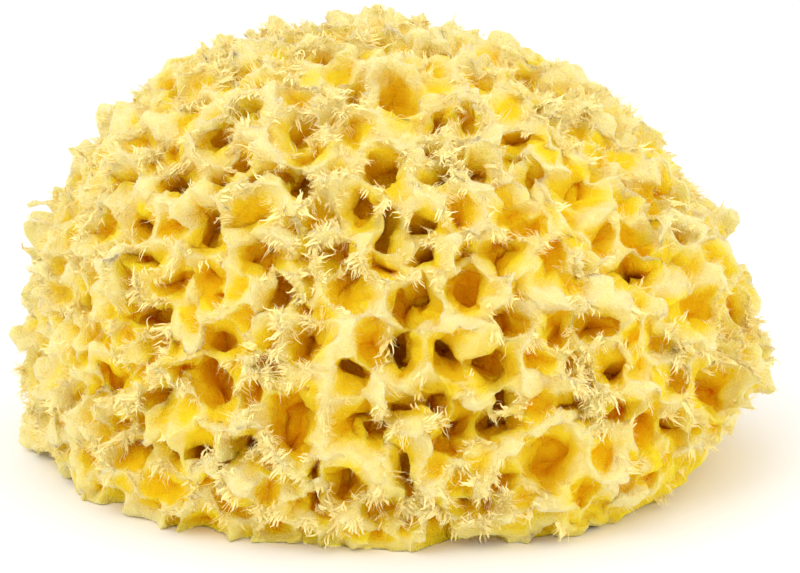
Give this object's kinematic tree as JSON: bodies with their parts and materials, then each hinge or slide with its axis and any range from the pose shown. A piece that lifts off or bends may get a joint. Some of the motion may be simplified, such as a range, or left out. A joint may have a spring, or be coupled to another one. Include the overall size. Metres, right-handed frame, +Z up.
{
  "type": "sea sponge",
  "caption": "Natural bath sponge in one piece: a leaning dome riddled with flared canals, cut flat underneath so that it stands by itself.",
  "frame": {"origin": "on the surface it stands on, under the middle of its outer box", "axes": "+Z up from the flat cut; X along its widest way; the side shown in the picture faces -Y"},
  "size_m": [0.155, 0.132, 0.09],
  "materials": {
    "sponge_flesh": "dry, dull, fibrous; cream at the tips and golden in the canals"
  },
  "bodies": {
    "root": {"sponge": "sponge_flesh"}
  },
  "joints": []
}
